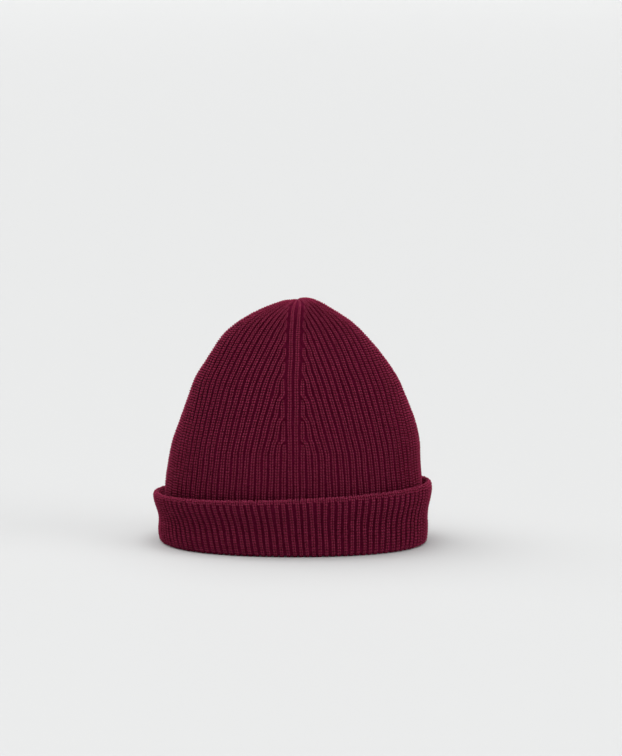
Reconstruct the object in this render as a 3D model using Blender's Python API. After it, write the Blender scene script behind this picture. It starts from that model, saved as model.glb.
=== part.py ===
# A knitted beanie: a 1x1 rib crown in four gores, standing on the fold of its turned-up cuff.
# Metres. +Z is up, -Y the front, +X the right as seen from the front. The origin is the middle of the
# footprint, on the surface that the hat stands on. Outer sizes are over the tops of the ribs.
import bpy
import numpy as np

# Crown
HAT_HEIGHT = 0.1882
CROWN_WIDTH = 0.197
CROWN_DEPTH = 0.134
SQUARENESS = 0.030  # how far the oval swells between its four spines, as a share of its radius
SKEW = 0.012  # how far it leans out at the front right and the back left, and in at the others
SPINE_DIP = 0.0012  # how deep the spines lie between the gores at the very top

# Cuff
CUFF_HEIGHT = 0.0447  # up to the rim at the front
RIM_TILT = 0.0044  # how much the rim rises at the right end, and drops at the left
RIM_BACK_DROP = 0.006  # how much lower it lies at the back
RIM_FLARE = 0.0044  # how far the rim stands out past the foot of the cuff
FOLD_ROUND = 0.0018  # the rounding between the resting face and the outside of the fold
TWIST = 0.0035  # how far the fold is turned against the rim, towards +X at the front
TWIST_SWING = 0.007  # how much more at the left end of the oval, and less at the right

# Fabric
FABRIC = 0.0034  # thickness over the ribs of both faces
RIB_DEPTH = 0.0009  # how deep the grooves between the ribs are
RIBS_PER_GORE = 27
GORES = 4
FIT_GAP = 0.0003  # between the crown and the cuff, at the fold

WINE = (0.085, 0.010, 0.022, 1.0)
WOOL_ROUGHNESS = 0.9

# The crown's outline from the surface to the tip. Height is a share of HAT_HEIGHT, and depth of half
# CROWN_DEPTH. Width, shift and spine are shares of half CROWN_WIDTH: shift is the middle's place towards +X,
# and spine the place of the front spine, round which the ribs are turned.
OUTLINE_COLUMNS = ("height", "width", "depth", "shift", "spine")
OUTLINE = (
    (0.000, 0.990, 0.990, 0.000, 0.000),
    (0.126, 0.990, 0.990, 0.000, 0.000),
    (0.220, 1.000, 1.000, 0.000, 0.000),
    (0.331, 0.980, 0.964, 0.006, 0.001),
    (0.413, 0.961, 0.919, 0.019, 0.000),
    (0.491, 0.919, 0.860, 0.030, -0.002),
    (0.586, 0.855, 0.773, 0.028, -0.003),
    (0.680, 0.783, 0.670, 0.023, -0.004),
    (0.742, 0.708, 0.591, 0.021, 0.000),
    (0.791, 0.645, 0.519, 0.015, 0.005),
    (0.841, 0.572, 0.442, 0.007, 0.009),
    (0.890, 0.480, 0.360, 0.009, 0.012),
    (0.922, 0.395, 0.304, 0.016, 0.015),
    (0.955, 0.283, 0.232, 0.024, 0.020),
    (0.980, 0.181, 0.160, 0.031, 0.026),
    (0.996, 0.078, 0.073, 0.030, 0.030),
    (1.000, 0.000, 0.000, 0.030, 0.030),
)

# Where each rib beside a spine ends, as shares of HAT_HEIGHT. Every end narrows each gore by two ribs.
DECREASES = (0.449, 0.538, 0.618, 0.699, 0.763, 0.819, 0.875, 0.922, 0.955, 0.978)
SQUEEZED_RIBS = 5  # how many ribs beside a spine share the squeeze before a decrease and the slack after
DIP_RIBS = 2  # how many ribs wide each side of the dip along a spine is
# More rings of the crown, below its first decrease and above its last, as shares of HAT_HEIGHT
LOWER_RINGS = (0.215, 0.330)
UPPER_RINGS = (0.994,)
GATHER_START = 0.93  # where the ribs begin to fade into the gathered tip, as a share of HAT_HEIGHT

# The turned-up ply of the cuff, up its outer face, over the rim and down its inner face. Height is a share of
# the rim's height there, flare a share of RIM_FLARE, and through a share of FABRIC from the inner face.
CUFF_COLUMNS = ("height", "flare", "through")
CUFF_PLY = (
    (0.24, 0.46, 1.00),
    (0.46, 0.36, 1.00),
    (0.66, 0.70, 1.00),
    (0.88, 1.00, 1.00),
    (1.00, 1.00, 0.55),
    (0.96, 1.00, 0.00),
    (0.62, 0.22, 0.00),
)

PROFILE_SAMPLES = 800
TURN_SAMPLES = 1440
SMALL_STEP = 1e-4


def clear_scene():
    for item in list(bpy.data.objects):
        bpy.data.objects.remove(item, do_unlink=True)


def smooth_through(knots, values, at):
    """A cubic through the rows of values, each segment leaving a row at the slope of its neighbours."""
    slopes = np.gradient(values, knots, axis=0)
    i = np.clip(np.searchsorted(knots, at, side="right") - 1, 0, len(knots) - 2)
    span = (knots[i + 1] - knots[i])[:, None]
    u = (at - knots[i])[:, None] / span
    return (
        (1 + 2 * u) * (1 - u) ** 2 * values[i]
        + u * (1 - u) ** 2 * span * slopes[i]
        + u**2 * (3 - 2 * u) * values[i + 1]
        + u**2 * (u - 1) * span * slopes[i + 1]
    )


def sampled_profile():
    """The outline's columns in metres, sampled evenly along it from the surface to the tip."""
    half_width, half_depth = CROWN_WIDTH / 2, CROWN_DEPTH / 2
    rows = np.array(OUTLINE) * (HAT_HEIGHT, half_width, half_depth, half_width, half_width)
    # The row past the tip mirrors the last but one, so that the outline crosses the tip level
    beyond = rows[-2] * (1, -1, -1, 1, 1)
    rows = np.vstack([rows, beyond])
    steps = np.hypot(np.diff(rows[:, 0]), np.diff(rows[:, 1]))
    knots = np.concatenate([[0], np.cumsum(steps)])
    tip = knots[-2]
    samples = smooth_through(knots, rows, np.linspace(0, tip, PROFILE_SAMPLES))
    return dict(zip(OUTLINE_COLUMNS, samples.T))


PROFILE = sampled_profile()
LEVELS = np.linspace(0, 1, PROFILE_SAMPLES)  # 0 at the surface, 1 at the tip


def level_at(height):
    """The level, or levels, at which the outline has this height."""
    return np.interp(height, PROFILE["height"], LEVELS)


def surface(level, turn):
    """Points over the rib tops: an oval at each level, turn being the angle from the front towards +X."""
    height, width, depth, shift, _ = (np.interp(level, LEVELS, PROFILE[name]) for name in OUTLINE_COLUMNS)
    swell = 1 + SQUARENESS * np.sin(2 * turn) ** 2 + SKEW * np.sin(2 * turn)
    x = shift + width * np.sin(turn) * swell
    y = -depth * np.cos(turn) * swell
    return np.stack([x, y, height + 0 * turn], axis=-1)


def outward(level, turn):
    """Unit vectors out of that surface: the cross product of its two directions."""
    around = surface(level, turn + SMALL_STEP) - surface(level, turn - SMALL_STEP)
    higher, lower = np.minimum(level + SMALL_STEP, 1), np.maximum(level - SMALL_STEP, 0)
    upward = surface(higher, turn) - surface(lower, turn)
    out = np.cross(around, upward)
    return out / np.linalg.norm(out, axis=-1, keepdims=True)


def turns_at(level, shares):
    """The turns that lie at these shares of the way round the oval, measured along it from the spine."""
    turns = np.linspace(0, 2 * np.pi, TURN_SAMPLES)
    ring = surface(level, turns)
    lengths = np.linalg.norm(np.diff(ring, axis=0), axis=1)
    along = np.concatenate([[0], np.cumsum(lengths)])
    aside = np.interp(level, LEVELS, PROFILE["spine"] - PROFILE["shift"]) / along[-1]
    return np.interp(np.mod(shares + aside, 1), along / along[-1], turns)


def decreases_done(height_share):
    """How many decreases lie below a height, growing smoothly: a half more at each decrease."""
    first_gap = DECREASES[1] - DECREASES[0]
    last_gap = DECREASES[-1] - DECREASES[-2]
    marks = (DECREASES[0] - first_gap / 2, *DECREASES, DECREASES[-1] + last_gap / 2)
    counts = (0, *(k + 0.5 for k in range(len(DECREASES))), len(DECREASES))
    return float(np.interp(height_share, marks, counts))


def ribs_of_gore(ended, done):
    """The ribs left in a gore, and each one's place as a share of it. `ended` ribs have ended at each side,
    and `done` is the smooth count. Away from the spines the ribs keep an even pitch from the middle rib."""
    middle = RIBS_PER_GORE // 2
    left = middle - ended
    pitch = 1 / (middle + 0.5 - done)
    rank = np.arange(left + 1)
    give = np.clip(1 - rank / min(left, SQUEEZED_RIBS), 0, 1) ** 2
    places = 1 - (left - rank) * pitch + (done - ended) * pitch * give
    ribs = np.where(rank == 0, 0, rank + ended)
    ribs = np.concatenate([ribs, RIBS_PER_GORE - 1 - ribs[-2::-1]])
    places = np.concatenate([places, 2 - places[-2::-1]]) / 2
    return ribs, places


def ring_columns(ended, done):
    """The columns of one ring of the crown: (names, places round the oval, which are grooves). A rib has
    a column on its crest, and a groove's column is named after the rib further from the nearer spine."""
    ribs, places = ribs_of_gore(ended, done)
    middle = RIBS_PER_GORE // 2
    names, at, groove = [], [], []
    for gore in range(GORES):
        for k, (rib, place) in enumerate(zip(ribs, places)):
            before = ribs[k - 1] if k else None
            groove_rib = 0 if before is None else (rib if rib <= middle else before + 1)
            groove_place = 0 if before is None else (place + places[k - 1]) / 2
            names += [(gore, int(groove_rib), "groove"), (gore, int(rib), "crest")]
            at += [(gore + groove_place) / GORES, (gore + place) / GORES]
            groove += [True, False]
    return names, np.array(at), np.array(groove)


def crown_ring(height_share, ended, inside):
    """One ring of the crown's outer or inner face, as {column name: point} in order round the oval."""
    level = level_at(height_share * HAT_HEIGHT)
    names, at, groove = ring_columns(ended, decreases_done(height_share))
    turn = turns_at(level, at)
    fade = np.clip((1 - height_share) / (1 - GATHER_START), 0, 1)
    depth = RIB_DEPTH * fade
    sink = np.where(groove, depth, 0)
    # The spines dip where the gores are narrow
    from_spine = np.abs(np.mod(at * GORES + 0.5, 1) - 0.5)
    rise = np.clip((height_share - DECREASES[0]) / (1 - DECREASES[0]), 0, 1)
    ribs_away = from_spine * (RIBS_PER_GORE - 2 * ended)
    dip = SPINE_DIP * rise * np.exp(-((ribs_away / DIP_RIBS) ** 2))
    if inside:
        sink = FABRIC - depth + sink
    points = surface(level, turn) - outward(level, turn) * (sink + dip)[:, None]
    return dict(zip(names, points))


def levels_of_rings(inside):
    """(height share, ribs ended) of each ring. The inside follows every second decrease."""
    bottom = (FABRIC + FIT_GAP) / HAT_HEIGHT
    rings = [(bottom, 0)] + [(h, 0) for h in LOWER_RINGS if h > bottom]
    ends = list(enumerate(DECREASES, start=1))
    rings += [(height, ended) for ended, height in (ends[::2] if inside else ends)]
    rings += [(h, len(DECREASES)) for h in UPPER_RINGS]
    return rings


class Skin:
    """Points and faces of one closed body, gathered ring by ring."""

    def __init__(self):
        self.points, self.faces = [], []

    def add(self, point):
        self.points.append(tuple(float(v) for v in point))
        return len(self.points) - 1

    def add_ring(self, ring):
        return {name: self.add(point) for name, point in ring.items()}

    def face(self, corners, flip):
        corners = list(dict.fromkeys(corners))
        if len(corners) > 2:
            self.faces.append(corners[::-1] if flip else corners)

    def mesh(self, name):
        made = bpy.data.meshes.new(name)
        made.from_pydata(self.points, [], self.faces)
        made.validate()
        return made


def carried_to(name, upper):
    """The column of the ring above that a column runs into: itself, or the groove beside the spine."""
    if name in upper:
        return name
    gore, rib, _ = name
    towards_middle = 1 if rib <= RIBS_PER_GORE // 2 else -1
    while (gore, rib, "groove") not in upper:
        rib += towards_middle
    return (gore, rib, "groove")


def bridge(skin, lower, upper, flip):
    """Faces between two rings. Where a rib ends, its columns run together into one point."""
    names = list(lower)
    for k, name in enumerate(names):
        follower = names[(k + 1) % len(names)]
        corners = (
            lower[name],
            lower[follower],
            upper[carried_to(follower, upper)],
            upper[carried_to(name, upper)],
        )
        skin.face(corners, flip)


def crown_face(skin, inside):
    """The outer or the inner face of the crown, from its lower edge to its tip. Returns the lowest ring."""
    rings = []
    for height_share, ended in levels_of_rings(inside):
        rings.append(skin.add_ring(crown_ring(height_share, ended, inside)))
    for lower, upper in zip(rings, rings[1:]):
        bridge(skin, lower, upper, flip=inside)
    sink = SPINE_DIP + (FABRIC if inside else 0)
    top = skin.add((PROFILE["shift"][-1], 0, HAT_HEIGHT - sink))
    names = list(rings[-1].values())
    for k, point in enumerate(names):
        skin.face((point, names[(k + 1) % len(names)], top), flip=inside)
    return rings[0]


def make_crown():
    skin = Skin()
    outer = crown_face(skin, inside=False)
    inner = crown_face(skin, inside=True)
    names = list(outer)
    for k, name in enumerate(names):
        follower = names[(k + 1) % len(names)]
        skin.face((outer[follower], outer[name], inner[name], inner[follower]), flip=False)
    return skin.mesh("crown")


def cuff_section():
    """The cuff's section, once round from the inner end of its resting face: (stand-off from the crown's
    lower outline, height in metres, height as a share of the rim's, whether it is on the inner face)."""
    outer_face = FIT_GAP + FABRIC
    fold_outside = [
        (-FABRIC, 0, 0, False),
        (outer_face - FOLD_ROUND, 0, 0, False),
        (outer_face, FOLD_ROUND, 0, False),
    ]
    ply = []
    for row in CUFF_PLY:
        at = dict(zip(CUFF_COLUMNS, row))
        stand_off = FIT_GAP + RIM_FLARE * at["flare"] + FABRIC * at["through"]
        ply.append((stand_off, 0, at["height"], at["through"] == 0))
    fold_inside = [
        (FIT_GAP, FABRIC, 0, True),
        (-FABRIC, FABRIC, 0, False),
    ]
    return fold_outside + ply + fold_inside


def make_cuff():
    """The section carried round the crown's outline, its columns on the ribs and their grooves. Each point
    stands off from the crown at its own height, so the two stay clear of each other all the way up."""
    foot = level_at(0)
    columns = RIBS_PER_GORE * GORES * 2
    at = np.arange(columns) / columns
    groove = np.arange(columns) % 2 == 0
    rim_turn = turns_at(foot, at)
    rim = CUFF_HEIGHT + RIM_TILT * np.sin(rim_turn) - RIM_BACK_DROP * np.sin(rim_turn / 2) ** 4
    ring = surface(foot, np.linspace(0, 2 * np.pi, TURN_SAMPLES))
    length = np.linalg.norm(np.diff(ring, axis=0), axis=1).sum()
    skin = Skin()
    rings = []
    for offset, height, share, inner in cuff_section():
        z = height + share * rim
        lean = (TWIST - TWIST_SWING * np.sin(rim_turn)) * (1 - z / rim) / length
        turn = turns_at(foot, at + lean)
        level = level_at(z)
        out = outward(level, turn) * (1, 1, 0)
        out /= np.linalg.norm(out, axis=1, keepdims=True)
        # A groove outside is a rib inside, and the faces that meet the crown's foot stay plain
        ribbed = offset > FIT_GAP
        relief = np.where(~groove if inner else groove, RIB_DEPTH if inner else -RIB_DEPTH, 0) * ribbed
        points = surface(level, turn) + out * (offset + relief)[:, None]
        points[:, 2] = z
        rings.append([skin.add(point) for point in points])
    for lower, upper in zip(rings, rings[1:] + rings[:1]):
        for k in range(columns):
            n = (k + 1) % columns
            skin.face((lower[k], lower[n], upper[n], upper[k]), flip=False)
    return skin.mesh("cuff")


def wool(name):
    made = bpy.data.materials.new(name)
    made.use_nodes = True
    shader = made.node_tree.nodes["Principled BSDF"]
    shader.inputs["Base Color"].default_value = WINE
    shader.inputs["Roughness"].default_value = WOOL_ROUGHNESS
    shader.inputs["Metallic"].default_value = 0.0
    return made


def place(name, mesh):
    mesh.materials.append(wool(name + "_wool"))
    bpy.context.scene.collection.objects.link(bpy.data.objects.new(name, mesh))


clear_scene()
place("crown", make_crown())
place("cuff", make_cuff())
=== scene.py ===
import bmesh
import bpy
import numpy as np
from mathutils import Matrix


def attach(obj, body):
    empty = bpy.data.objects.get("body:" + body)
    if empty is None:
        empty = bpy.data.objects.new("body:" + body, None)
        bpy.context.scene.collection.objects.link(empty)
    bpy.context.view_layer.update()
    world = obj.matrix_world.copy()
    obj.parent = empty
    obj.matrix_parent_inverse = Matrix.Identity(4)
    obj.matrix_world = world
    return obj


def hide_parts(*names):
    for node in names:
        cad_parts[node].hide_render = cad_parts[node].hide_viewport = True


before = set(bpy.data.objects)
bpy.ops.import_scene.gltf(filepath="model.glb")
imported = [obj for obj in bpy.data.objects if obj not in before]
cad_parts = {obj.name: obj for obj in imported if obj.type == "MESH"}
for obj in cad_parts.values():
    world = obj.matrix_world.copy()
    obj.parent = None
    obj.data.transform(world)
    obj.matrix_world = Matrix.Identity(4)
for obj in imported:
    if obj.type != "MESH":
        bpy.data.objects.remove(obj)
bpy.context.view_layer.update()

# A knitted beanie in 1x1 rib. Metres, +Z up, -Y the front, +X the right as seen from the front. A turn
# is the angle from the front towards +X, a share the part of the way round an oval, and a level the
# part of the way up the crown's outline.

# Crown, with the part's own sizes and tables
HAT_HEIGHT = 0.1882
CROWN_WIDTH = 0.197
CROWN_DEPTH = 0.134
SQUARENESS = 0.030
SKEW = 0.012
SPINE_DIP = 0.0012
OUTLINE_COLUMNS = ("height", "width", "depth", "shift", "spine")
OUTLINE = (
    (0.000, 0.990, 0.990, 0.000, 0.000),
    (0.126, 0.990, 0.990, 0.000, 0.000),
    (0.220, 1.000, 1.000, 0.000, 0.000),
    (0.331, 0.980, 0.964, 0.006, 0.001),
    (0.413, 0.961, 0.919, 0.019, 0.000),
    (0.491, 0.919, 0.860, 0.030, -0.002),
    (0.586, 0.855, 0.773, 0.028, -0.003),
    (0.680, 0.783, 0.670, 0.023, -0.004),
    (0.742, 0.708, 0.591, 0.021, 0.000),
    (0.791, 0.645, 0.519, 0.015, 0.005),
    (0.841, 0.572, 0.442, 0.007, 0.009),
    (0.890, 0.480, 0.360, 0.009, 0.012),
    (0.922, 0.395, 0.304, 0.016, 0.015),
    (0.955, 0.283, 0.232, 0.024, 0.020),
    (0.980, 0.181, 0.160, 0.031, 0.026),
    (0.996, 0.078, 0.073, 0.030, 0.030),
    (1.000, 0.000, 0.000, 0.030, 0.030),
)
DECREASES = np.array((0.449, 0.538, 0.618, 0.699, 0.763, 0.819, 0.875, 0.922, 0.955, 0.978))

# Tip, which leans and has a dent of its own
TIP_TILT = 0.10  # slope from its left side up to its right
TIP_START = 0.93  # where that begins, as a share of HAT_HEIGHT
TIP_REACH = 0.020  # how far from its middle it reaches
TIP_DENT = 0.0012  # how deep its left side is dented
DENT_PLACE = 0.0019  # how far left of its middle
DENT_REACH = 0.0057  # how far the dent reaches round there

# Cuff, with the part's own sizes and the lean of its rim
CUFF_HEIGHT = 0.0447
RIM_TILT = 0.0044
RIM_BACK_DROP = 0.006
RIM_FLARE = 0.0044
RIM_LEAN = 0.2  # how much more the rim flares at the left end, and less at the right
TWIST = 0.0035
TWIST_SWING = 0.007

# Fabric
FABRIC = 0.0034
FIT_GAP = 0.0003
CUFF_STAND = 0.0060  # how far the cuff's outside stands off from the crown
GORES = 4
RIBS_PER_GORE = 27
RIBS = GORES * RIBS_PER_GORE
MIDDLE = RIBS_PER_GORE // 2  # the middle rib of a gore, counted from the spine rib, which is 0
ENDS = np.concatenate([[2.0], DECREASES, np.full(MIDDLE - len(DECREASES), 2.0)])  # where each rib ends
GAPS = np.gradient(DECREASES)  # from one decrease to the next

# Ribs. A rib is two columns of slanting yarn legs, and rows are stitches along it.
ROW = 0.00206  # height of a stitch along the fabric
SQUEEZED_RIBS = 2.6  # how many ribs by a spine share the squeeze before a decrease and the slack after
DIP_RIBS = 2  # how many ribs wide each side of the dip along a spine is
TIP_DIP = 0.3  # how much of it is left at the tip
YIELDING = 0.80  # how far an ending rib stays behind as the ribs close in, in pitches
CAP_ROWS = 2.6  # how many rows an ending rib takes to round off
CAP_WIDTH = 0.30  # how much of its width is left at the end
CAP_DIVE = 0.0006  # how much deeper it lies there
SPINE_SWELL = ((0.44, 0.0), (0.90, 0.17), (0.985, 0.55))  # more room for a spine rib, by height
SPINE_BREADTH = 0.5  # how much of that its stitches take up
CROWN_SPREAD = ((0.36, 0.9), (0.64, 0.80))  # how far apart the legs of a rib lie, by height
RIM_SPREAD = ((-1.0, 1.4), (2.5, 1.0))  # and on the cuff, by row from the rim
HIDDEN_ROWS = 3.5  # rows of the crown behind the rim that a look into the gap still reaches
FIRST_ROW = 8  # below it the cuff hides every stitch of the crown
LAST_RING = 0.994  # the level at which the gathered stitches are drawn together
TOPMOST = 0.998  # and the level that no stitch passes
CUFF_START = -4.6  # the row in the gap at which the cuff's stitches start
CUFF_STOP = 3  # how many rows before the end of its path they stop, under the fold
EDGE_ROWS = (-1.5, -0.6, 0.3, 1.1)  # where the cast-on edge fills the grooves of the rim

# Where a rib ends, the next one closes in over it. By height, in gaps between decreases: half the stretch
# that this takes, and how far above the decrease its middle lies.
CLOSING = ((0.46, 0.17), (0.60, 0.24), (0.75, 0.44))
CLOSING_LATE = ((0.60, 0.04), (0.75, 0.10))
CLOSINGS = DECREASES + np.interp(DECREASES, *zip(*CLOSING_LATE)) * GAPS
CLOSING_SPANS = 2 * np.interp(DECREASES, *zip(*CLOSING)) * GAPS

# A leg of a stitch along its own length: rows past the stitch's foot, sideways in pitches from the rib's
# middle, depth of its middle in metres, thickness as a share. The first and last rows close its ends.
LEG_COLUMNS = ("along", "aside", "sink", "thick")
CROWN_LEG = (
    (-0.06, 0.100, 0.00195, 0.0),
    (0.17, 0.150, 0.00110, 0.78),
    (0.50, 0.215, 0.00032, 1.0),
    (0.81, 0.245, 0.00106, 0.72),
    (1.02, 0.240, 0.00195, 0.0),
)
CUFF_LEG = (
    (-0.06, 0.075, 0.00205, 0.0),
    (0.17, 0.100, 0.00115, 0.80),
    (0.50, 0.145, 0.00040, 1.0),
    (0.82, 0.160, 0.00111, 0.76),
    (1.03, 0.155, 0.00205, 0.0),
)
EDGE_LEG = (
    (-0.06, -0.03, 0.00190, 0.0),
    (0.17, -0.01, 0.00122, 0.80),
    (0.49, 0.02, 0.00064, 1.0),
    (0.82, 0.01, 0.00122, 0.78),
    (1.03, -0.02, 0.00190, 0.0),
)
YARN_COLUMNS = ("tall", "wide")  # half thickness in metres, half width in pitches
CROWN_YARN = (0.00070, 0.135)
CUFF_YARN = (0.00072, 0.139)
EDGE_YARN = (0.00066, 0.120)
LEG_SIDES = 5
FULL_PITCH = 0.0048  # below this pitch the yarn is squeezed flat
FLATTEST = 0.35  # but no flatter than at this share of it

# What keeps stitches from being the same: slow waves, each with its turn by rib, its turn by row and its
# size, and chance for each leg
WANDER = ((2.4, 0.13, 0.035), (5.1, 0.37, 0.030))  # to the sides, in pitches
HEAVE = ((3.7, 0.21, 0.00008),)  # in and out
ROW_SHIFT = 0.14  # how far a rib's rows lie above or below its neighbours', at most, in rows
CHANCE_ALONG = 0.03  # in rows
CHANCE_ASIDE = 0.012  # in pitches
CHANCE_DEPTH = 0.00006
CHANCE_THICK = 0.06  # as a share

# The ground under the stitches
CREST_SINK = 0.0013  # how deep it lies under the rib tops, below the middle of a leg's arch
TIP_CREST = 0.0006  # and at the tip
CROWN_GROOVE = ((0.36, 0.0011), (0.64, 0.0017))  # how deep its grooves lie under its ribs, by height
RUNG = 0.00028  # how much the rungs of the purl stitches stand out in a groove of the crown
CUFF_RUNG = 0.12  # and of the cuff, as a share of the groove's depth
FLANK = 0.36  # how far from a groove to its rib the point between them lies
FLANK_DEPTH = 0.45  # and how deep, as a share
GROUND_FOOT = 5  # the row at which the crown's ground starts outside, down in the fold
GROUND_FINE = 14  # and the row from which it has two rings to a row
INNER_FOOT = 2.6  # the row at which it ends inside
INNER_RINGS = 46  # and its rings up to the tip
INSIDE_RELIEF = 0.0009  # how deep the grooves of the inside are
GATHER_RING = 0.12  # rings shorter than this have shallower grooves
GATHER_LEAST = 0.1  # down to this share
RESTING = 0.00005  # the least height of the yarn, which lies flat on the floor under the fold

# The wool's two shades of wine, as red, green and blue
DARK_WINE = (0.197, 0.0122, 0.0385)
LIGHT_WINE = (0.303, 0.0255, 0.0735)

# The cuff's face over its rib tops, once round its section: from the inside of the fold through the
# channel that the crown stands in, up the gap, over the rim, down the outside and under the fold.
# Stand-off from the crown in FABRIC and in RIM_FLARE, height in metres and as a share of the rim's, and
# how deep the ground lies under the rib tops, and its grooves under that.
CUFF_COLUMNS = ("fabric", "flare", "metres", "of_rim", "ground", "groove")
CUFF_PATH = (
    (-1.00, 0.00, 0.0050, 0.000, 0.0003, 0.0004),
    (-0.50, 0.00, 0.0040, 0.000, 0.0000, 0.0000),
    (-0.05, 0.00, 0.0042, 0.000, 0.0000, 0.0000),
    (0.06, 0.05, 0.0090, 0.000, 0.0001, 0.0001),
    (0.06, 0.10, 0.0000, 0.450, 0.0002, 0.0002),
    (0.04, 0.20, 0.0000, 0.680, 0.0003, 0.0005),
    (0.00, 0.46, 0.0000, 0.840, 0.0008, 0.0008),
    (0.02, 0.72, 0.0000, 0.940, 0.0011, 0.0008),
    (0.24, 0.82, 0.0000, 0.987, 0.0011, 0.0006),
    (0.56, 0.93, 0.0000, 1.000, 0.0011, 0.0006),
    (0.86, 1.00, 0.0000, 0.982, 0.0011, 0.0008),
    (1.05, 1.02, 0.0000, 0.935, 0.0011, 0.0012),
    (1.10, 1.00, 0.0000, 0.870, 0.0011, 0.0015),
    (1.10, 0.91, 0.0000, 0.780, 0.0011, 0.0016),
    (1.10, 0.70, 0.0000, 0.665, 0.0011, 0.0016),
    (1.09, 0.49, 0.0000, 0.555, 0.0011, 0.0016),
    (1.09, 0.40, 0.0000, 0.440, 0.0011, 0.0016),
    (1.09, 0.47, 0.0000, 0.310, 0.0011, 0.0016),
    (1.09, 0.48, 0.0000, 0.210, 0.0011, 0.0014),
    (1.08, 0.39, 0.0000, 0.110, 0.0010, 0.0009),
    (1.00, 0.26, 0.0014, 0.000, 0.0007, 0.0005),
    (0.80, 0.18, 0.0003, 0.000, 0.0006, 0.0004),
    (0.52, 0.06, 0.0000, 0.000, 0.0006, 0.0004),
    (-0.40, 0.00, 0.0000, 0.000, 0.0007, 0.0006),
    (-0.85, 0.00, 0.0006, 0.000, 0.0007, 0.0006),
    (-1.05, 0.00, 0.0025, 0.000, 0.0005, 0.0005),
    (-1.00, 0.00, 0.0050, 0.000, 0.0003, 0.0004),
)
CUFF_RIM_KNOT = 9  # the row of CUFF_PATH at the rim's crest

# Even steps at which curves are sampled
LEVELS = np.linspace(0, 1, 800)
TURNS = np.linspace(0, 2 * np.pi, 1441)
SHARES = np.linspace(0, 1, 721)
CUFF_SAMPLE_COUNT = 600
SMALL_STEP = 1e-4  # the step in level, turn or share by which slopes are measured
SMALL_ROWS = 0.05  # and the step in rows


def smooth_through(knots, values, at):
    """A cubic through the rows of values, each segment leaving a row at the slope of its neighbours."""
    slopes = np.gradient(values, knots, axis=0)
    i = np.clip(np.searchsorted(knots, at, side="right") - 1, 0, len(knots) - 2)
    span = (knots[i + 1] - knots[i])[:, None]
    u = (at - knots[i])[:, None] / span
    return (
        (1 + 2 * u) * (1 - u) ** 2 * values[i]
        + u * (1 - u) ** 2 * span * slopes[i]
        + u**2 * (3 - 2 * u) * values[i + 1]
        + u**2 * (u - 1) * span * slopes[i + 1]
    )


def ease(x):
    """A smooth step from 0 to 1."""
    x = np.clip(x, 0, 1)
    return x * x * (3 - 2 * x)


def unit(vectors):
    """The vectors divided by their lengths."""
    return vectors / np.maximum(np.linalg.norm(vectors, axis=-1, keepdims=True), 1e-12)


def sampled_outline():
    """The outline's columns in metres at LEVELS, which are even steps along it, and its length."""
    half_width, half_depth = CROWN_WIDTH / 2, CROWN_DEPTH / 2
    rows = np.array(OUTLINE) * (HAT_HEIGHT, half_width, half_depth, half_width, half_width)
    rows = np.vstack([rows, rows[-2] * (1, -1, -1, 1, 1)])
    steps = np.hypot(np.diff(rows[:, 0]), np.diff(rows[:, 1]))
    knots = np.concatenate([[0], np.cumsum(steps)])
    samples = smooth_through(knots, rows, LEVELS * knots[-2])
    return dict(zip(OUTLINE_COLUMNS, samples.T)), knots[-2]


PROFILE, PROFILE_LENGTH = sampled_outline()
ROW_STEP = ROW / PROFILE_LENGTH  # a stitch as a part of the way up the outline
LAST_ROW = LAST_RING / ROW_STEP


def outline_at(level, column):
    """A column of the outline at a level."""
    return np.interp(level, LEVELS, PROFILE[column])


def level_at(height):
    """The level at which the outline has this height, read from the sampled outline."""
    return np.interp(height, PROFILE["height"], LEVELS)


def surface(level, turn):
    """Points over the rib tops: at each level an oval of x = width sin(turn), y = -depth cos(turn),
    swollen between the spines by SQUARENESS sin(2 turn) squared and skewed by SKEW sin(2 turn). Close to
    the tip the right side stands a little higher than the left, which has a dent shaped like a bell."""
    height, width, depth, shift, _ = (outline_at(level, name) for name in OUTLINE_COLUMNS)
    swell = 1 + SQUARENESS * np.sin(2 * turn) ** 2 + SKEW * np.sin(2 * turn)
    aside = width * np.sin(turn) * swell
    near_tip = ease((height / HAT_HEIGHT - TIP_START) / (1 - TIP_START))
    lift = TIP_TILT * near_tip * aside * np.exp(-((aside / TIP_REACH) ** 2))
    lift = lift - TIP_DENT * near_tip * np.exp(-(((aside + DENT_PLACE) / DENT_REACH) ** 2))
    return np.stack([shift + aside, -depth * np.cos(turn) * swell, height + lift], axis=-1)


def outward(level, turn):
    """Unit vectors out of the crown: the cross product of its steps round the oval and up the outline."""
    around = surface(level, turn + SMALL_STEP) - surface(level, turn - SMALL_STEP)
    above, below = np.minimum(level + SMALL_STEP, 1), np.maximum(level - SMALL_STEP, 0)
    upward = surface(above, turn) - surface(below, turn)
    return unit(np.cross(around, upward))


def measured_rings():
    """For a table of levels, the length of each oval and the turn that each even share of it reaches."""
    levels = np.linspace(0, 0.999, 240)
    ring = surface(levels[:, None], TURNS[None, :])
    steps = np.linalg.norm(np.diff(ring, axis=1), axis=2)
    along = np.concatenate([np.zeros((len(levels), 1)), np.cumsum(steps, axis=1)], axis=1)
    table = np.array([np.interp(SHARES, row / row[-1], TURNS) for row in along])
    return levels, along[:, -1], table


RING_LEVELS, RING_LENGTHS, TURN_TABLE = measured_rings()


def ring_length(level):
    """The length of the oval at a level."""
    return np.interp(level, RING_LEVELS, RING_LENGTHS)


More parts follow.
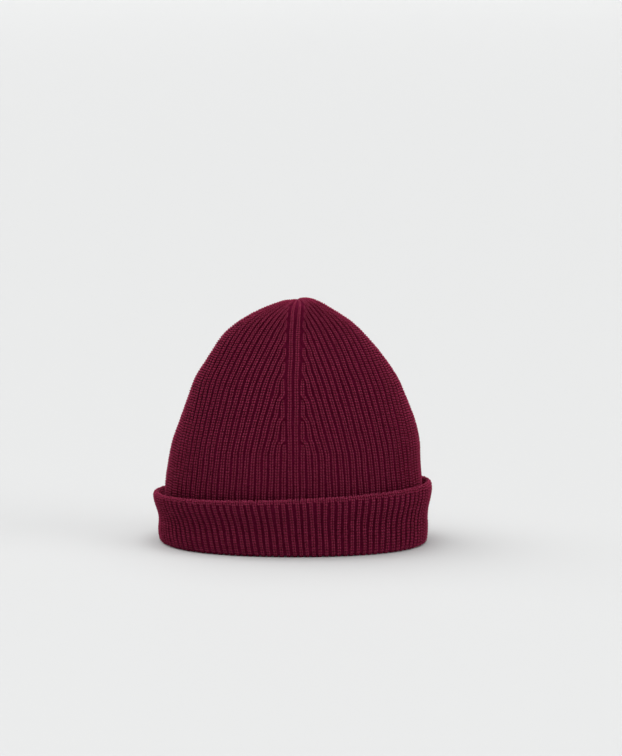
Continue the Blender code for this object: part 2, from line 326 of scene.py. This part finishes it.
def turn_at(level, share):
    """The turn at a share of the way round from the front spine, which stands aside from the oval's middle.
    It is read between the four nearest entries of the table of rings."""
    share = share + (outline_at(level, "spine") - outline_at(level, "shift")) / ring_length(level)
    whole = np.floor(share)
    i = np.clip(level / RING_LEVELS[-1], 0, 1) * (len(RING_LEVELS) - 1)
    j = (share - whole) * (TURN_TABLE.shape[1] - 1)
    i0 = np.minimum(i.astype(int), len(RING_LEVELS) - 2)
    j0 = np.minimum(j.astype(int), TURN_TABLE.shape[1] - 2)
    fi, fj = i - i0, j - j0
    low = TURN_TABLE[i0, j0] * (1 - fj) + TURN_TABLE[i0, j0 + 1] * fj
    high = TURN_TABLE[i0 + 1, j0] * (1 - fj) + TURN_TABLE[i0 + 1, j0 + 1] * fj
    return low * (1 - fi) + high * fi + 2 * np.pi * whole


def decreases_done(height_share):
    """How many ribs have closed in below a height, growing evenly: a half more at the middle of each
    closing."""
    first_gap, last_gap = CLOSINGS[1] - CLOSINGS[0], CLOSINGS[-1] - CLOSINGS[-2]
    marks = np.concatenate([[CLOSINGS[0] - first_gap / 2], CLOSINGS, [CLOSINGS[-1] + last_gap / 2]])
    counts = np.concatenate([[0], np.arange(len(CLOSINGS)) + 0.5, [len(CLOSINGS)]])
    return np.interp(height_share, marks, counts)


def ribs_closed(height_share):
    """How many ribs have closed in at each spine: a smooth step for every closing."""
    past = height_share[..., None] - CLOSINGS
    return ease(past / CLOSING_SPANS + 0.5).sum(axis=-1)


def rib_place(rib, height_share):
    """(place, width, how far it has rounded off) of a rib in its half gore, 0 at the spine's middle and 1
    at the middle rib. The ribs keep an even pitch from the middle rib. Those next to the spine give way
    before a closing and move in with it, by the square of their nearness, and make room for the spine
    rib's swell. An ending rib stays behind and narrows by a quarter of an oval."""
    done, closed = decreases_done(height_share), ribs_closed(height_share)
    pitch = 1 / (MIDDLE + 0.5 - done)
    rank = rib - closed
    reach = np.minimum(MIDDLE - closed - 1, SQUEEZED_RIBS)
    give = np.clip(1 - (rank - 1) / reach, 0, 1) ** 2
    swell = np.interp(height_share, *zip(*SPINE_SWELL))
    behind = YIELDING * np.clip(1 - rank, 0, 1)
    place = 1 - (MIDDLE - rib) * pitch + ((done - closed + swell) * give + behind) * pitch
    place = np.where(rib == 0, (1 + swell) * pitch / 2, place)
    to_end = (ENDS[rib] - height_share) * HAT_HEIGHT / (CAP_ROWS * ROW)
    rounded = 1 - np.sqrt(1 - np.clip(1 - to_end, 0, 1) ** 2)
    breadth = np.where(rib == 0, 1 + SPINE_BREADTH * swell, 1 - (1 - CAP_WIDTH) * rounded)
    return place, pitch * breadth, rounded


def row_height(row):
    """The height of a crown row as a share of the hat's."""
    return outline_at(row * ROW_STEP, "height") / HAT_HEIGHT


def crown_rib(rib, row):
    """(share, width as a share, spread of its legs, dive) of a rib's middle at a row. Ribs are counted
    round from the front."""
    gore, number = rib // RIBS_PER_GORE, rib % RIBS_PER_GORE
    beyond = number > MIDDLE
    nearest = np.where(beyond, RIBS_PER_GORE - 1 - number, number)
    height = row_height(row)
    place, width, rounded = rib_place(nearest, height)
    in_gore = np.where(beyond, 2 - place, place) / 2
    spread = np.interp(height, *zip(*CROWN_SPREAD))
    return (gore + in_gore) / GORES, width / 2 / GORES, spread, CAP_DIVE * rounded


def spine_dip(level, share):
    """How deep the gores' seams lie: a bell two ribs wide at each spine, deeper towards the tip."""
    height_share = outline_at(level, "height") / HAT_HEIGHT
    from_spine = np.abs(np.mod(share * GORES + 0.5, 1) - 0.5)
    ribs_away = from_spine * 2 * (MIDDLE + 0.5 - decreases_done(height_share))
    rise = np.clip((height_share - DECREASES[0]) / (1 - DECREASES[0]), 0, 1)
    fall = np.interp(height_share, (DECREASES[-3], 1), (1, TIP_DIP))
    return SPINE_DIP * rise * fall * np.exp(-((ribs_away / DIP_RIBS) ** 2))


def crown_point(row, share, sink):
    """A point of the crown at a row and a share, sunk below the rib tops, and the way out there."""
    level = np.minimum(row * ROW_STEP, TOPMOST)
    turn = turn_at(level, share)
    out = outward(level, turn)
    return surface(level, turn) - out * (sink + spine_dip(level, share))[..., None], out


def rim_height(turn):
    """The rim's height: higher at the right end than at the left by twice RIM_TILT, and lower at the
    back."""
    return CUFF_HEIGHT + RIM_TILT * np.sin(turn) - RIM_BACK_DROP * np.sin(turn / 2) ** 4


def sampled_cuff():
    """The cuff's path in even steps along it at the front's height: its rows, counted from the rim's
    crest, and its columns there."""
    knots = np.array(CUFF_PATH)
    off = knots[:, 0] * FABRIC + knots[:, 1] * RIM_FLARE
    height = knots[:, 2] + knots[:, 3] * CUFF_HEIGHT
    along = np.concatenate([[0], np.cumsum(np.hypot(np.diff(off), np.diff(height)))])
    steps = np.linspace(0, along[-1], CUFF_SAMPLE_COUNT)
    samples = smooth_through(along, knots, steps)
    return (steps - along[CUFF_RIM_KNOT]) / ROW, dict(zip(CUFF_COLUMNS, samples.T))


CUFF_ROWS, CUFF_SAMPLES = sampled_cuff()


def cuff_at(row, column):
    """A column of the cuff's path at a row."""
    return np.interp(row, CUFF_ROWS, CUFF_SAMPLES[column])


def measured_cuff():
    """The turn that each even share of the way round the cuff's outside reaches, which stands off from the
    crown by CUFF_STAND."""
    foot = level_at(0) + 0 * TURNS
    ring = surface(foot, TURNS) + unit(outward(foot, TURNS) * (1, 1, 0)) * CUFF_STAND
    along = np.concatenate([[0], np.cumsum(np.linalg.norm(np.diff(ring, axis=0), axis=1))])
    return np.interp(SHARES, along / along[-1], TURNS)


CUFF_TURNS = measured_cuff()


def cuff_turn(share):
    """The turn at a share of the way round the cuff's outside."""
    whole = np.floor(share)
    return np.interp(share - whole, SHARES, CUFF_TURNS) + 2 * np.pi * whole


def cuff_surface(row, share):
    """Points over the cuff's rib tops. The path is carried round the crown's outline, stretched to the
    rim's height there, and leans along the oval by the twist that is left between the rim and the fold."""
    in_fabric, in_flare, metres, of_rim = (cuff_at(row, name) for name in CUFF_COLUMNS[:4])
    rim_turn = cuff_turn(share)
    rim = rim_height(rim_turn)
    height = metres + of_rim * rim
    lean = (TWIST - TWIST_SWING * np.sin(rim_turn)) * (1 - height / rim) / ring_length(0)
    turn = cuff_turn(share + lean)
    level = level_at(height)
    flare = RIM_FLARE * (1 - RIM_LEAN * np.sin(rim_turn))
    out = unit(outward(level, turn) * (1, 1, 0))
    points = surface(level, turn) + out * (FIT_GAP + in_fabric * FABRIC + in_flare * flare)[..., None]
    points[..., 2] = height
    return points


def cuff_point(row, share, sink):
    """A point of the cuff at a row and a share, sunk below the rib tops, and the way out there: the cross
    product of the steps round the oval and up the fabric."""
    points = cuff_surface(row, share)
    around = cuff_surface(row, share + SMALL_STEP) - cuff_surface(row, share - SMALL_STEP)
    down = cuff_surface(row + SMALL_ROWS, share) - cuff_surface(row - SMALL_ROWS, share)
    out = unit(np.cross(down, around))
    return points - out * sink[..., None], out


def cuff_rib(rib, row):
    """(share, width as a share, spread of its legs, dive) of a cuff rib's middle: even steps round the
    oval."""
    spread = np.interp(row, *zip(*RIM_SPREAD))
    return (rib + 0.5) / RIBS + 0 * row, np.full(np.shape(row), 1 / RIBS), spread, 0


def new_piece(name, points, faces, material):
    """A smooth mesh piece from arrays, with the given material, which rides on the body."""
    made = bpy.data.meshes.new(name)
    made.from_pydata(points, [], faces)
    made.polygons.foreach_set("use_smooth", np.ones(len(made.polygons), dtype=bool))
    made.materials.append(material)
    piece = bpy.data.objects.new(name, made)
    bpy.context.scene.collection.objects.link(piece)
    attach(piece, "root")
    return piece


def set_map(mesh, name, places):
    """A UV map from one place for each corner of each face, in the order of the faces."""
    mesh.uv_layers.new(name=name).data.foreach_set("uv", places.astype(np.float32).ravel())


def waves(table, ribs, rows):
    """The sum of a table's waves: size times the sine of by_rib times the rib plus by_row times the row."""
    return sum(size * np.sin(ribs * by_rib + rows * by_row) for by_rib, by_row, size in table)


def leg_middles(leg, point, rib_at, ribs, rows, sides, chance):
    """(middles, ways out, width of the rib) along each leg. A middle follows the leg's table, from the
    rib's middle outwards and over the arch. The waves and chance move it, and an uneven wave from rib to
    rib shifts its rows."""
    phase = ROW_SHIFT * np.sin(ribs * 2.1 + 0.6 * np.sin(ribs * 1.3))
    row = (rows + phase)[:, None] + leg["along"] + CHANCE_ALONG * chance[:, 3:]
    share, width, spread, dive = rib_at(ribs[:, None], row)
    from_middle = sides[:, None] * (spread * leg["aside"] + CHANCE_ASIDE * chance[:, :1])
    place = share + width * (from_middle + waves(WANDER, ribs, rows)[:, None])
    heave = waves(HEAVE, ribs, rows)[:, None]
    depth = leg["sink"] + dive + heave + CHANCE_DEPTH * chance[:, 1:2]
    middle, out = point(row, place, depth)
    beside, _ = point(row, place + 0.5 * width, depth)
    return middle, out, 2 * np.linalg.norm(beside - middle, axis=-1)


def leg_rings(leg, yarn, middle, out, width, chance):
    """The rings round the legs' middles: ellipses in the plane across the way a leg runs, as wide as the
    rib allows, and flatter by the root of its width where that is below FULL_PITCH."""
    yarn = dict(zip(YARN_COLUMNS, yarn))
    ahead = unit(np.gradient(middle, axis=1))
    across = unit(np.cross(ahead, out))
    up = np.cross(across, ahead)
    swell = leg["thick"] * (1 + CHANCE_THICK * chance[:, 2:3])
    wide = (width * yarn["wide"] * swell)[:, 1:-1]
    tall = (yarn["tall"] * np.clip(width / FULL_PITCH, FLATTEST, 1) ** 0.5 * swell)[:, 1:-1]
    angle = np.arange(LEG_SIDES) / LEG_SIDES * 2 * np.pi + np.pi / 2
    return (
        middle[:, 1:-1, None, :]
        + across[:, 1:-1, None, :] * (wide[:, :, None] * np.cos(angle))[..., None]
        + up[:, 1:-1, None, :] * (tall[:, :, None] * np.sin(angle))[..., None]
    )


def leg_faces(count, spans):
    """The faces of the legs: triangles from the first and the last ring to a point at either end, and
    quads from ring to ring."""
    k = np.arange(LEG_SIDES)
    n = (k + 1) % LEG_SIDES
    start, end = spans * LEG_SIDES, spans * LEG_SIDES + 1
    last = (spans - 1) * LEG_SIDES
    foot = np.c_[k, n, np.full(LEG_SIDES, start)]
    head = np.c_[n + last, k + last, np.full(LEG_SIDES, end)]
    caps = np.concatenate([foot, head])
    step = np.arange(spans - 1)[:, None, None] * LEG_SIDES
    walls = (np.stack([n, k, k + LEG_SIDES, n + LEG_SIDES], axis=1) + step).reshape(-1, 4)
    first = (np.arange(count) * (end + 1))[:, None, None]
    return (caps + first).reshape(-1, 3).tolist() + (walls + first).reshape(-1, 4).tolist()


def yarn_legs(name, leg, yarn, point, rib_at, ribs, rows, sides, material, seed):
    """Many legs in one mesh. Each is a spindle: rings round its middle, and a point at either end. None
    reaches below the floor."""
    leg = dict(zip(LEG_COLUMNS, np.array(leg).T))
    chance = np.random.default_rng(seed).normal(size=(len(ribs), 4))
    middle, out, width = leg_middles(leg, point, rib_at, ribs, rows, sides, chance)
    rings = leg_rings(leg, yarn, middle, out, width, chance)
    count, spans = rings.shape[:2]
    points = np.concatenate([rings.reshape(count, -1, 3), middle[:, :1], middle[:, -1:]], axis=1)
    points[..., 2] = np.maximum(points[..., 2], RESTING)
    piece = new_piece(name, points.reshape(-1, 3), leg_faces(count, spans), material)
    map_legs(piece.data, count, spans)


def map_legs(mesh, count, spans):
    """Two UV maps for a mesh of legs. Yarn holds the way round a leg and the way along it. OFBake gives
    each leg a cell of its own in a square grid."""
    k = np.arange(LEG_SIDES)
    rise = np.arange(spans + 2) / (spans + 1)

    def corners(round_leg, along_leg):
        heights = np.tile(along_leg, (LEG_SIDES, 1))
        return np.stack([round_leg / LEG_SIDES, heights], axis=2).reshape(-1, 2)

    foot = corners(np.c_[k, k + 1, k + 0.5], (rise[1], rise[1], rise[0]))
    head = corners(np.c_[k + 1, k, k + 0.5], (rise[-2], rise[-2], rise[-1]))
    ring = np.c_[k + 1, k, k, k + 1]
    walls = [corners(ring, (low, low, high, high)) for low, high in zip(rise[1:-2], rise[2:-1])]
    caps, wall = np.concatenate([foot, head]), np.concatenate(walls)
    yarn = np.concatenate([np.tile(caps, (count, 1)), np.tile(wall, (count, 1))])
    leg = np.arange(count)
    owner = np.concatenate([np.repeat(leg, len(caps)), np.repeat(leg, len(wall))])
    side = int(np.ceil(np.sqrt(count)))
    cell = np.stack([owner % side, owner // side], axis=1)
    margin = 0.08
    set_map(mesh, "Yarn", yarn)
    set_map(mesh, "OFBake", (cell + margin + (1 - 2 * margin) * yarn) / side)


def crown_stitches(material):
    """The legs of the crown, one piece for each gore: every rib from behind the rim up to its own end."""
    rows = np.arange(FIRST_ROW, int(LAST_ROW))
    rib, row, side = (a.ravel() for a in np.meshgrid(np.arange(RIBS), rows, (-1, 1), indexing="ij"))
    number = rib % RIBS_PER_GORE
    ends = ENDS[np.minimum(number, RIBS_PER_GORE - 1 - number)]
    height = row_height(row + 0.5)
    rim = rim_height(turn_at(0 * height, (rib + 0.5) / RIBS))
    shown = (height < ends) & (height * HAT_HEIGHT > rim - HIDDEN_ROWS * ROW)
    for gore, name in enumerate(("front_right", "back_right", "back_left", "front_left")):
        pick = shown & (rib // RIBS_PER_GORE == gore)
        yarn_legs(
            "crown_stitches_" + name,
            CROWN_LEG,
            CROWN_YARN,
            crown_point,
            crown_rib,
            rib[pick],
            row[pick].astype(float),
            side[pick].astype(float),
            material,
            seed=gore,
        )


def cuff_stitches(material):
    """The legs of the cuff, from inside the gap over the rim to under the fold, and the upright loops of
    the cast-on edge in its grooves. Its knitting runs down from the rim, so its stitches hang upside
    down."""
    rows = np.arange(CUFF_START, CUFF_ROWS[-1] - CUFF_STOP)
    rib, row, side = (a.ravel() for a in np.meshgrid(np.arange(RIBS), rows, (-1.0, 1.0), indexing="ij"))
    yarn_legs("cuff_stitches", CUFF_LEG, CUFF_YARN, cuff_point, cuff_rib, rib, row, side, material, seed=9)
    rib, row = (a.ravel() for a in np.meshgrid(np.arange(RIBS) + 0.5, EDGE_ROWS, indexing="ij"))
    side = np.ones(len(rib))
    yarn_legs("cuff_edge", EDGE_LEG, EDGE_YARN, cuff_point, cuff_rib, rib, row, side, material, seed=10)


def grid_faces(rows, columns):
    """Quads over a grid of points that closes on itself round the columns."""
    i, j = np.meshgrid(np.arange(rows - 1), np.arange(columns), indexing="ij")
    n = (j + 1) % columns
    corners = (i * columns + j, i * columns + n, (i + 1) * columns + n, (i + 1) * columns + j)
    return np.stack(corners, axis=-1).reshape(-1, 4)


def grid_map(rows, columns):
    """The places of those quads' corners in a unit square, open at the seam."""
    i, j = np.meshgrid(np.arange(rows - 1), np.arange(columns), indexing="ij")
    round_grid = np.stack([j, j + 1, j + 1, j], axis=-1) / columns
    up_grid = np.stack([i, i, i + 1, i + 1], axis=-1) / (rows - 1)
    return np.stack([round_grid, up_grid], axis=-1).reshape(-1, 4, 2)


def crown_columns(row):
    """(share, depth from 0 on a rib to 1 in a groove) of four columns for each rib. The columns of an
    ended rib lie in the groove beside its spine."""
    height = row_height(row)[:, None]
    place, _, _ = rib_place(np.arange(MIDDLE + 1)[None, :], height)
    alive = height < ENDS[None, :]
    order = np.where(alive[:, 1:], place[:, 1:], 2)
    closed = (place[:, :1] + order.min(axis=1, keepdims=True)) / 2
    place = np.where(alive, place, closed)
    both = alive[:, :-1] & alive[:, 1:]
    groove = np.where(both, (place[:, :-1] + place[:, 1:]) / 2, closed)
    left = np.concatenate([0 * height, groove], axis=1)
    right = np.concatenate([groove, 2 - groove[:, -1:]], axis=1)
    rising, falling = left + FLANK * (place - left), place + (1 - FLANK) * (right - place)
    shape = np.stack([left, rising, place, falling], axis=2)
    depth = 0 * shape + (1, FLANK_DEPTH, 0, FLANK_DEPTH)
    depth = np.where(alive[:, :, None], depth, 1.0)
    half, half_depth = shape.reshape(len(row), -1), depth.reshape(len(row), -1)
    # The half gore up to the middle rib's crest, then its mirror
    keep = half.shape[1] - 1
    gore = np.concatenate([half[:, :keep], 2 - half[:, keep - 2 : 0 : -1]], axis=1) / 2
    gore_depth = np.concatenate([half_depth[:, :keep], half_depth[:, keep - 2 : 0 : -1]], axis=1)
    share = (np.arange(GORES)[None, :, None] + gore[:, None, :]) / GORES
    return share.reshape(len(row), -1), np.tile(gore_depth, (1, GORES))


def gathered(row):
    """How deep the grooves stay at a row, as a share: it falls with the ring's length near the tip."""
    return np.clip(ring_length(row * ROW_STEP) / GATHER_RING, GATHER_LEAST, 1)[:, None]


def crown_rings():
    """The rings of the crown's ground, outside from the foot up and inside from the tip down. Outside, the
    depth goes from rib to groove, and in the grooves a wave of one rung a row."""
    hidden, fine = np.arange(GROUND_FOOT, GROUND_FINE, 3.0), np.arange(GROUND_FINE, LAST_ROW - 0.3, 0.5)
    row = np.concatenate([hidden, fine, [LAST_ROW]])
    share, depth = crown_columns(row)
    height = row_height(row)
    groove = np.interp(height, *zip(*CROWN_GROOVE))[:, None]
    crest = np.interp(height, (TIP_START, 1), (CREST_SINK, TIP_CREST))[:, None]
    sink = crest + depth * gathered(row) * (groove - RUNG * np.cos(2 * np.pi * row)[:, None])
    outer, _ = crown_point(row[:, None] + 0 * share, share, sink)
    row = np.linspace(LAST_ROW, INNER_FOOT, INNER_RINGS)
    share, depth = crown_columns(row)
    sink = FABRIC - INSIDE_RELIEF * gathered(row) * (1 - depth)
    inner, _ = crown_point(row[:, None] + 0 * share, share, sink)
    return outer, inner


def crown_ground(material):
    """The crown's closed body under its stitches: its rings, a plain edge in the fold, and a fan of
    triangles on the outside and the inside of the tip."""
    outer, inner = crown_rings()
    columns = outer.shape[1]
    # From the inner edge down under and up the outside, down the inside, and two points at the tip
    outside = np.concatenate([inner[-1:], outer])
    shift = PROFILE["shift"][-1]
    top = surface(np.array(1.0), np.array(0.0))[2]
    tips = [[shift, 0, top - TIP_CREST], [shift, 0, top - SPINE_DIP - FABRIC]]
    points = np.concatenate([outside.reshape(-1, 3), inner[:-1].reshape(-1, 3), tips])
    k = np.arange(columns)
    n = (k + 1) % columns
    inside_points = np.concatenate([outside.size // 3 + np.arange((len(inner) - 1) * columns), k])
    top_ring = (len(outside) - 1) * columns
    quads = np.concatenate(
        [grid_faces(len(outside), columns), inside_points[grid_faces(len(inner), columns)]],
    )
    caps = np.concatenate(
        [
            np.c_[top_ring + k, top_ring + n, np.full(columns, len(points) - 2)],
            np.c_[inside_points[n], inside_points[k], np.full(columns, len(points) - 1)],
        ]
    )
    piece = new_piece("crown_fabric", points, quads.tolist() + caps.tolist(), material)
    # The outside takes the map's lower half, the inside its upper half, and the tip's fans lie between
    half = (1, 0.48)
    quad_map = [grid_map(len(outside), columns) * half, grid_map(len(inner), columns) * half + (0, 0.5)]
    cap_map = [
        np.stack([np.c_[k, k + 1, k + 0.5] / columns, np.tile((0.48, 0.48, 0.49), (columns, 1))], axis=2),
        np.stack([np.c_[k + 1, k, k + 0.5] / columns, np.tile((0.5, 0.5, 0.495), (columns, 1))], axis=2),
    ]
    places = [part.reshape(-1, 2) for part in quad_map + cap_map]
    set_map(piece.data, "OFBake", np.concatenate(places))
    weld(piece.data)
    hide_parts("crown")


def weld(mesh):
    """Merges points that lie together and drops the faces that this closes."""
    work = bmesh.new()
    work.from_mesh(mesh)
    bmesh.ops.remove_doubles(work, verts=work.verts, dist=2e-6)
    bmesh.ops.dissolve_degenerate(work, dist=1e-7, edges=work.edges)
    work.to_mesh(mesh)
    work.free()


def cuff_ground(material):
    """The cuff's closed body under its stitches: its path with ribs and rungs, two rings to a row, and the
    last ring is the first."""
    rows = np.linspace(CUFF_ROWS[0], CUFF_ROWS[-1], int(2 * (CUFF_ROWS[-1] - CUFF_ROWS[0])))[:-1]
    columns = RIBS * 4
    share = np.tile(np.arange(columns) / columns, (len(rows), 1))
    row = rows[:, None] + 0 * share
    depth = np.tile((1, FLANK_DEPTH, 0, FLANK_DEPTH), (len(rows), RIBS))
    rungs = 1 - CUFF_RUNG * np.cos(2 * np.pi * row)
    sink = cuff_at(row, "ground") + depth * cuff_at(row, "groove") * rungs
    points, _ = cuff_point(row, share, sink)
    faces = grid_faces(len(rows) + 1, columns) % (len(rows) * columns)
    piece = new_piece("cuff_fabric", points.reshape(-1, 3), faces[:, ::-1].tolist(), material)
    set_map(piece.data, "OFBake", grid_map(len(rows) + 1, columns)[:, ::-1])
    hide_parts("cuff")


def noise(nodes, links, place, scale, detail):
    """The value of a noise on the piece's own coordinates."""
    made = nodes.new("ShaderNodeTexNoise")
    made.inputs["Scale"].default_value = scale
    made.inputs["Detail"].default_value = detail
    links.new(place.outputs["Object"], made.inputs["Vector"])
    return made.outputs["Fac"]


def leg_colour_with_painted_shade(nodes, links, yarn_map, shades, ends):
    """The shades times a ramp along a leg: 1 in its middle, and darker towards its ends as painted shade,
    where it dives between its neighbours."""
    way = nodes.new("ShaderNodeSeparateXYZ")
    links.new(yarn_map.outputs["UV"], way.inputs["Vector"])
    painted_shade_ramp = nodes.new("ShaderNodeValToRGB")
    ramp = painted_shade_ramp.color_ramp
    # painted shade: the colour at a leg's ends, darker still in green and blue
    full, painted_shade_colour = (1, 1, 1, 1), (ends, 0.4 * ends, 0.5 * ends, 1)
    ramp.elements[0].position, ramp.elements[1].position = 0.23, 0.45
    ramp.elements[0].color, ramp.elements[1].color = painted_shade_colour, full
    ramp.elements.new(0.57).color = full
    ramp.elements.new(0.79).color = painted_shade_colour
    links.new(way.outputs["Y"], painted_shade_ramp.inputs["Fac"])
    specks_with_painted_shade = nodes.new("ShaderNodeVectorMath")
    specks_with_painted_shade.operation = "MULTIPLY"
    links.new(shades, specks_with_painted_shade.inputs[0])
    links.new(painted_shade_ramp.outputs["Color"], specks_with_painted_shade.inputs[1])
    return specks_with_painted_shade.outputs["Vector"]


def leg_relief(nodes, links, yarn_map, fibres):
    """The relief of a leg: a wave for the two plies that wind round it, and half of the fibres."""
    winding = nodes.new("ShaderNodeMapping")
    winding.inputs["Scale"].default_value = (0.4 * np.pi, 0.7, 0)
    links.new(yarn_map.outputs["UV"], winding.inputs["Vector"])
    plies = nodes.new("ShaderNodeTexWave")
    plies.bands_direction = "DIAGONAL"
    plies.inputs["Scale"].default_value = 1
    links.new(winding.outputs["Vector"], plies.inputs["Vector"])
    relief = nodes.new("ShaderNodeMath")
    relief.operation = "MULTIPLY_ADD"
    relief.inputs[1].default_value = 0.5
    links.new(fibres, relief.inputs[0])
    links.new(plies.outputs["Fac"], relief.inputs[2])
    return relief.outputs["Value"]


def painted_shade_of(colour, shade_factor):
    """A colour times a painted shade factor, with its green times the factor's square, as shade is purer
    where light bounces more than once.
    """
    red, green, blue = colour
    return red * shade_factor, green * shade_factor * shade_factor, blue * shade_factor, 1


def wool(name, shade_factor=1.0, sheen=0.0, ends=None):
    """Matt wool: two shades of wine in fine specks, and fibres as bump. A factor below 1 darkens it all as
    painted shade. With ends, a leg's plies and a painted shade towards its ends are added."""
    made = bpy.data.materials.new(name)
    made.use_nodes = True
    nodes, links = made.node_tree.nodes, made.node_tree.links
    shader = nodes["Principled BSDF"]
    place = nodes.new("ShaderNodeTexCoord")
    specks = nodes.new("ShaderNodeValToRGB")
    ramp = specks.color_ramp
    ramp.elements[0].position, ramp.elements[1].position = 0.30, 0.72
    # the specks' two shades, darkened as painted shade by a factor below 1
    ramp.elements[0].color, ramp.elements[1].color = painted_shade_of(DARK_WINE, shade_factor), painted_shade_of(LIGHT_WINE, shade_factor)
    links.new(noise(nodes, links, place, 520, 3), specks.inputs["Fac"])
    colour, relief = specks.outputs["Color"], noise(nodes, links, place, 3500, 2)
    if ends is not None:
        yarn_map = nodes.new("ShaderNodeUVMap")
        yarn_map.uv_map = "Yarn"
        # painted shade towards the ends of each leg
        colour = leg_colour_with_painted_shade(nodes, links, yarn_map, colour, ends)
        relief = leg_relief(nodes, links, yarn_map, relief)
    links.new(colour, shader.inputs["Base Color"])
    bump = nodes.new("ShaderNodeBump")
    bump.inputs["Strength"].default_value = 0.35
    bump.inputs["Distance"].default_value = 0.0002
    links.new(relief, bump.inputs["Height"])
    links.new(bump.outputs["Normal"], shader.inputs["Normal"])
    shader.inputs["Roughness"].default_value = 0.85
    shader.inputs["Specular IOR Level"].default_value = 0.05
    shader.inputs["Sheen Weight"].default_value = sheen
    shader.inputs["Sheen Roughness"].default_value = 0.5
    shader.inputs["Sheen Tint"].default_value = (0.90, 0.28, 0.48, 1)
    return made


def floor():
    """A plain pale floor. Far from the hat it curves up into a low backdrop all round: rings whose radius
    and height follow a quarter of a circle."""
    middle, flat, bend, columns = 2.0, 9.0, 1.5, 96
    angle = np.linspace(0, np.pi / 2, 16)
    radius = np.concatenate([[middle], flat + bend * np.sin(angle)])[:, None]
    height = np.concatenate([[0.0], bend * (1 - np.cos(angle))])[:, None]
    turn = np.arange(columns) / columns * 2 * np.pi
    rings = np.stack([radius * np.cos(turn), radius * np.sin(turn), height + 0 * turn], axis=-1)
    faces = grid_faces(len(radius), columns)[:, ::-1].tolist() + [list(range(columns))]
    made = bpy.data.meshes.new("floor")
    made.from_pydata(rings.reshape(-1, 3), [], faces)
    made.polygons.foreach_set("use_smooth", np.ones(len(made.polygons), dtype=bool))
    paper = bpy.data.materials.new("pale_paper")
    paper.use_nodes = True
    shader = paper.node_tree.nodes["Principled BSDF"]
    shader.inputs["Base Color"].default_value = (0.500, 0.504, 0.504, 1)
    shader.inputs["Roughness"].default_value = 0.6
    shader.inputs["Specular IOR Level"].default_value = 0.2
    made.materials.append(paper)
    plane = bpy.data.objects.new("floor", made)
    bpy.context.scene.collection.objects.link(plane)


def lights():
    """A broad lamp overhead, a weaker one behind at the left, and a low one that fills in from the
    right."""
    world = bpy.data.worlds.new("studio")
    world.use_nodes = True
    sky = world.node_tree.nodes["Background"]
    sky.inputs["Color"].default_value = (1, 1, 1, 1)
    sky.inputs["Strength"].default_value = 0.02
    bpy.context.scene.world = world
    for name, strength, spread, turned in (
        ("overhead_lamp", 4.37, 92, (-4, -5, 0)),
        ("left_lamp", 0.80, 50, (-17, -47, 0)),
        ("right_lamp", 1.12, 40, (20, 66, 0)),
    ):
        lamp = bpy.data.lights.new(name, "SUN")
        lamp.energy = strength
        lamp.angle = np.radians(spread)
        holder = bpy.data.objects.new(name, lamp)
        holder.rotation_euler = np.radians(turned)
        bpy.context.scene.collection.objects.link(holder)


def camera():
    """The photograph's view: 8.3 degrees above the floor from 3 m, with a long lens."""
    elevation = np.radians(8.3)
    distance = 3.0
    per_pixel = 0.000764
    width, height = 622, 756
    middle_x, ground_y = 293.5, 541.1
    aside, up = (width / 2 - middle_x) * per_pixel, (ground_y - height / 2) * per_pixel
    target = np.array([aside, 0, up / np.cos(elevation)])
    eye = target + distance * np.array([0, -np.cos(elevation), np.sin(elevation)])
    lens = bpy.data.cameras.new("camera")
    lens.sensor_fit = "HORIZONTAL"
    lens.sensor_width = 36
    lens.lens = 36 * distance / (width * per_pixel)
    lens.clip_end = 200
    holder = bpy.data.objects.new("camera", lens)
    holder.location = eye
    holder.rotation_euler = (np.pi / 2 - elevation, 0, 0)
    bpy.context.scene.collection.objects.link(holder)
    bpy.context.scene.camera = holder


# the yarn's wool, with painted shade at the ends of each leg
yarn_wool = wool("wine_wool", sheen=0.16, ends=0.21)
# painted shade: the ground under the stitches, seen in the grooves, is darkened to stand in for their shade
ground_wool_painted_shade = wool("wine_wool_painted_shade", shade_factor=0.44)
crown_ground(ground_wool_painted_shade)
cuff_ground(ground_wool_painted_shade)
crown_stitches(yarn_wool)
cuff_stitches(yarn_wool)
floor()
lights()
camera()
bpy.context.scene.view_settings.view_transform = "Standard"
